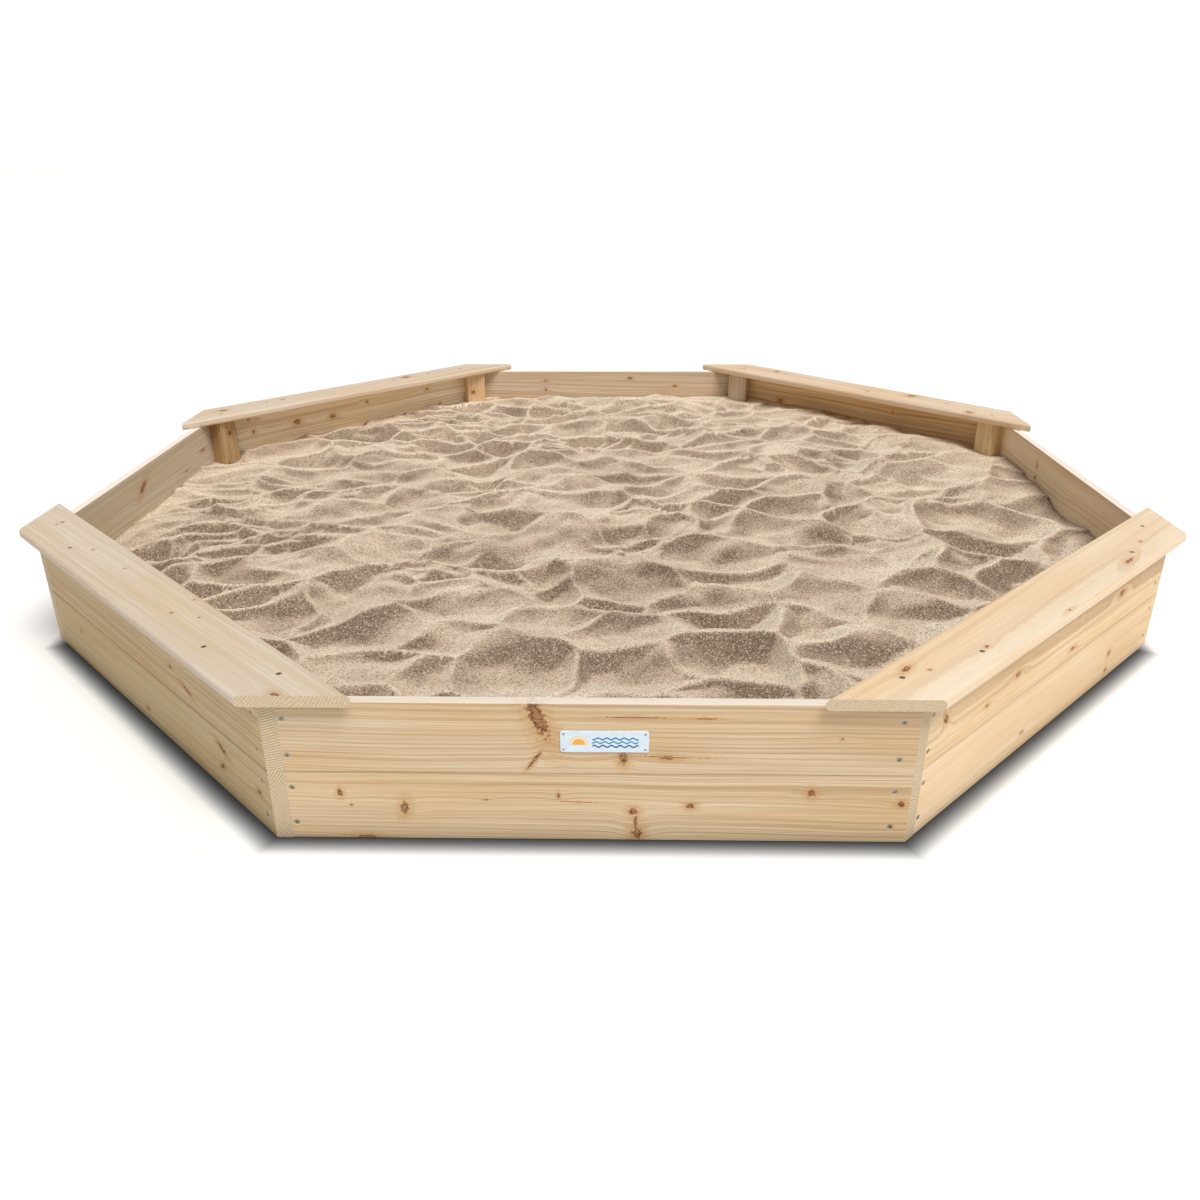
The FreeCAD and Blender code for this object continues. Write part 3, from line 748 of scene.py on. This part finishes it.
def smooth_noise(x, y, wave, seed):
    """Soft random hills from -1 to 1, about wave metres across."""
    lattice = np.random.default_rng(seed).uniform(-1, 1, (LATTICE, LATTICE))
    u, v = x / wave + 31.7, y / wave + 29.3
    i, j = np.floor(u).astype(int), np.floor(v).astype(int)
    fu, fv = soft(u - i), soft(v - j)

    def at(a, b):
        return lattice[a % LATTICE, b % LATTICE]

    low = at(i, j) * (1 - fu) + at(i + 1, j) * fu
    high = at(i, j + 1) * (1 - fu) + at(i + 1, j + 1) * fu
    return low * (1 - fv) + high * fv


def cells(x, y, spacing, seed, missing):
    """How far a point is from its cell's border, and that cell's own chance, 0 to 1.

    Each square of a lattice has one seed in it, but for a share of missing ones.
    """
    jx, jy, chance = np.random.default_rng(seed).uniform(0, 1, (3, LATTICE, LATTICE))
    i, j = np.floor(x / spacing).astype(int), np.floor(y / spacing).astype(int)
    far = 9.0
    near, second = np.full(x.shape, far), np.full(x.shape, far)
    own = np.zeros(x.shape)
    for a in range(-2, 3):
        for b in range(-2, 3):
            at = (i + a) % LATTICE, (j + b) % LATTICE
            away = np.hypot(x - (i + a + jx[at]) * spacing, y - (j + b + jy[at]) * spacing)
            away = np.where(chance[at] < missing, far, away)
            closer = away < near
            second = np.where(closer, near, np.minimum(second, away))
            own = np.where(closer, (chance[at] - missing) / (1 - missing), own)
            near = np.where(closer, away, near)
    return (second - near) / 2, own


def bowls(x, y, spacing, seed, reach, deep, round_over):
    """Hollows with a crest between them: height, and distance from the crest.

    Within reach of its crest a hollow gets most of its depth. deep is the most that any of
    them can have, and round_over is how wide the crests are rounded.
    """
    edge, own = cells(x, y, spacing, seed, 0.3)
    away = np.sqrt(edge**2 + round_over**2) - round_over
    return -deep * (0.25 + 0.75 * own) * (1 - np.exp(-away / reach)), edge


def dunes(x, y):
    """Height of the trodden sand over its level, and distance from the nearest crest."""
    closer = 1 + FINER_BACK * y
    wx = x * closer + 0.040 * smooth_noise(x, y, 0.19, 1) + 0.016 * smooth_noise(x, y, 0.07, 2)
    wy = y * closer + 0.034 * smooth_noise(x, y, 0.17, 3) + 0.016 * smooth_noise(x, y, 0.06, 4)
    trodden = (0.55 + 0.45 * soft(0.5 + 1.1 * smooth_noise(x, y, 0.30, 6))) / (closer + 0.05)
    height, edge = bowls(wx / HOLLOWS_WIDER, wy, **HOLLOWS)
    height = height * trodden
    small, crease = bowls(wx / SMALL_WIDER, wy, **SMALL)
    patch = soft(0.12 + 1.3 * smooth_noise(x, y, 0.16, 8))
    height += small * patch
    edge = np.minimum(edge / trodden, crease + 0.02 * (1 - patch))
    height += 0.010 * smooth_noise(x, y, 0.30, 9) + 0.0130 * smooth_noise(x, y, 0.095, 10)
    height += 0.0030 * smooth_noise(x, y, 0.036, 13)
    return height, edge


def wall_distance(x, y):
    """How far a point is from the inside of the nearest wall."""
    sides = [x * math.cos(STEP * k) + y * math.sin(STEP * k) for k in range(len(WALLS))]
    return INNER - np.max(sides, axis=0)


def sand_height(x, y):
    """Height over the ground, and distance from a crest. The crests lean to the front.

    The sand is flatter close to the walls.
    """
    first, _ = dunes(x, y)
    height, edge = dunes(x, y + LEAN * first)
    by_wall = soft(1 - wall_distance(x, y) / WALL_REACH)
    height = (height + SAND_LIFT) * (1 - FLATTER * by_wall)
    level = SAND_LEVEL + SAND_RISE[0] * x + SAND_RISE[1] * y
    return level + height, edge


def sand_shade(x, y, height, edge):
    """How much painted shade the sand has, from about 0 to about 1.

    It is painted shade where the sand faces the front, and painted light where it faces the back,
    with a painted highlight on crests.
    """
    step = 0.004
    beyond, _ = sand_height(x - 0.35 * step, y + step)
    slope = (beyond - height) / step
    shade = soft((slope - SLOPE_FIRST) / SLOPE_SPAN) - PALER - PALER_BACK * y
    return shade * (1 - CREST_HIGHLIGHT * np.exp(-(edge / CREST_WIDTH) ** 2))


def lattice(edge, spacing, wanted=None):
    """A triangular lattice of points well inside the edge, and those of them wanted."""
    reach = max(max(abs(x), abs(y)) for x, y in edge)
    x, y = np.meshgrid(
        np.arange(-reach, reach, spacing), np.arange(-reach, reach, spacing * math.sqrt(0.75)))
    x[::2] += spacing / 2
    x, y = x.ravel(), y.ravel()
    keep = inside(x, y, edge, spacing * 0.6)
    x, y = x[keep], y[keep]
    if wanted:
        keep = wanted(x, y)
        x, y = x[keep], y[keep]
    return list(zip(x, y))


def border_points(edge, spacing):
    """The edge, cut into equal steps of about that spacing."""
    border = []
    for (ax, ay), (bx, by) in zip(edge, edge[1:] + edge[:1]):
        steps = max(1, round(math.hypot(bx - ax, by - ay) / spacing))
        border += [(ax + (bx - ax) * k / steps, ay + (by - ay) * k / steps) for k in range(steps)]
    return border


def triangles(border, points):
    """The border's points and the others, as arrays, and the triangles between them."""
    ring = [(k, (k + 1) % len(border)) for k in range(len(border))]
    result = delaunay_2d_cdt([Vector(p) for p in border + points], ring, [], 1, 1e-7)
    return np.array([p.x for p in result[0]]), np.array([p.y for p in result[0]]), result[2]


def inside(x, y, edge, margin):
    """Which points lie inside the outline, at least margin from it."""
    count = np.zeros(x.shape, int)
    away = np.full(x.shape, 9.0)
    for (ax, ay), (bx, by) in zip(edge, edge[1:] + edge[:1]):
        dx, dy = bx - ax, by - ay
        if dy:
            count += ((ay > y) != (by > y)) & (x < ax + (y - ay) * dx / dy)
        share = np.clip(((x - ax) * dx + (y - ay) * dy) / (dx * dx + dy * dy), 0, 1)
        away = np.minimum(away, np.hypot(x - ax - share * dx, y - ay - share * dy))
    return (count % 2 == 1) & (away > margin)


def sand_surface():
    """The sand's top as x, y, z, shade and triangles, and how many points are on its rim.

    The mesh is finer near the crests than in the hollows.
    """
    coarse, fine = SAND_MESH

    def by_crest(x, y):
        return sand_height(x, y)[1] < NEAR_CREST

    def by_hollow(x, y):
        return sand_height(x, y)[1] >= NEAR_CREST

    edge = outline()
    border = border_points(edge, fine)
    points = lattice(edge, fine, by_crest) + lattice(edge, coarse, by_hollow)
    x, y, faces = triangles(border, points)
    z, away = sand_height(x, y)
    return x, y, z, sand_shade(x, y, z, away), faces, len(border)


def make_sand():
    """The trodden sand: its top, a side all round, and a flat base on the liner."""
    x, y, z, shade, faces, rim = sand_surface()
    top = list(zip(x, y, z))
    foot = [(a, b, LINER_TOP) for a, b in zip(x[:rim], y[:rim])]
    count = len(top)
    skirt = [(k, count + k, count + (k + 1) % rim, (k + 1) % rim) for k in range(rim)]
    base = tuple(count + k for k in reversed(range(rim)))
    mesh = bpy.data.meshes.new("sand")
    mesh.from_pydata(top + foot, [], [tuple(f) for f in faces] + skirt + [base])
    mesh.update()
    dark = mesh.attributes.new("shade", "FLOAT", "POINT")
    # The sand's sides, down to the liner, get the darkest painted shade.
    dark.data.foreach_set("value", np.append(shade, np.ones(rim)).astype(np.float32))
    for polygon in mesh.polygons[: len(faces)]:
        polygon.use_smooth = True
    sand = bpy.data.objects.new("sand", mesh)
    bpy.context.scene.collection.objects.link(sand)
    mesh.materials.append(sand_material())
    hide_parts("sand_fill")
    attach(sand, "root")


def sand_material():
    """Sand in grains and crumbs, paler or darker by the painted light and shade of its shade
    attribute.
    """
    n = Nodes("sand")
    place = n.place()
    shade = n.tree.nodes.new("ShaderNodeAttribute")
    shade.attribute_name = "shade"
    patch = n.noise(place, 7, 3)
    depth = n.math("ADD", shade.outputs["Fac"], n.span(patch, 0.3, 0.7, -0.16, 0.16))
    # Painted light and shade: pale where the shade is low, dark where it is high.
    colour = n.ramp(depth, (0.0, (0.98, 0.83, 0.64)), (0.5, (0.66, 0.505, 0.375)),
                    (1.0, (0.27, 0.19, 0.132)))
    grains = n.tree.nodes.new("ShaderNodeTexVoronoi")
    grains.inputs["Scale"].default_value = 560
    n.feed(grains.inputs["Vector"], place)
    tone, _, tint = n.split(grains.outputs["Color"])
    colour = n.mix(1.0, colour, n.ramp(tone, (0.0, 0.36), (0.4, 0.92), (1.0, 1.0)), "MULTIPLY")
    colour = n.mix(n.span(tint, 0.84, 0.86, 0, 0.35), colour, (0.90, 0.78, 0.62))
    clods = n.noise(place, 230, 3)
    crumb = n.noise(place, 75, 2)
    colour = n.mix(n.span(crumb, 0.72, 0.76, 0, 0.6), colour, (0.13, 0.095, 0.07))
    n.feed(n.shader.inputs["Base Color"], colour)
    n.shader.inputs["Roughness"].default_value = 0.92
    n.shader.inputs["Specular IOR Level"].default_value = 0.2
    height = n.math("ADD", n.math("MULTIPLY", tone, 0.6), clods)
    n.feed(n.shader.inputs["Normal"], n.bump(height, 0.0012, 0.8))
    return n.material


LINER_LIFT, LINER_SWELL = 0.00025, 0.00012  # over the ground, and in soft waves
LINER_THICKNESS = 0.0006
TAPE = 0.0025  # width of the liner's flat tapes


def make_liner():
    """A thin woven sheet that lies flat on the ground, under the sand."""
    edge = outline()
    border = border_points(edge, 0.03)
    x, y, faces = triangles(border, lattice(edge, 0.03))
    rim = len(border)
    lift = LINER_LIFT + LINER_SWELL * smooth_noise(x, y, 0.12, 21)
    count = len(x)
    mesh = bpy.data.meshes.new("liner")
    low = list(zip(x, y, lift))
    high = [(a, b, c + LINER_THICKNESS) for a, b, c in low]
    under = [(c, b, a) for a, b, c in faces]
    over = [tuple(count + k for k in f) for f in faces]
    hem = [(k, (k + 1) % rim, count + (k + 1) % rim, count + k) for k in range(rim)]
    mesh.from_pydata(low + high, [], under + over + hem)
    liner = bpy.data.objects.new("liner", mesh)
    bpy.context.scene.collection.objects.link(liner)
    mesh.materials.append(liner_material())
    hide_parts("ground_liner")
    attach(liner, "root")


def liner_material():
    """Black flat tapes, woven one over one, with a thin green marker line."""
    n = Nodes("liner")
    x, y, _ = n.split(n.place())
    tape = math.pi / TAPE
    warp = n.math("SINE", n.math("MULTIPLY", x, tape))
    weft = n.math("SINE", n.math("MULTIPLY", y, tape))
    weave = n.math("MULTIPLY", warp, weft)
    worn = n.noise(n.place(), 6, 3)
    colour = n.mix(n.span(weave, -0.3, 0.3), (0.020, 0.022, 0.020), (0.045, 0.048, 0.045))
    colour = n.mix(n.span(worn, 0.5, 0.75, 0, 0.4), colour, (0.16, 0.13, 0.10))
    line = n.math("ABSOLUTE", n.math("SUBTRACT", n.math("FRACT", n.math("DIVIDE", x, 0.3)), 0.5))
    colour = n.mix(n.span(line, 0.008, 0.006, 0, 0.8), colour, (0.05, 0.22, 0.09))
    n.feed(n.shader.inputs["Base Color"], colour)
    n.feed(n.shader.inputs["Roughness"], n.span(weave, -1, 1, 0.6, 0.45))
    n.feed(n.shader.inputs["Normal"], n.bump(weave, 0.0002, 0.7))
    return n.material


# ---------------------------------------------------------------- the scene

bpy.context.scene.view_settings.view_transform = "Standard"
place_camera()
place_lights()
place_floor()
dress_wood()
dress_fittings()
make_sand()
make_liner()

sizes = {"cad": cad_box, "visual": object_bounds()}
{k: [[float(c) for c in corner] for corner in v] for k, v in sizes.items()}
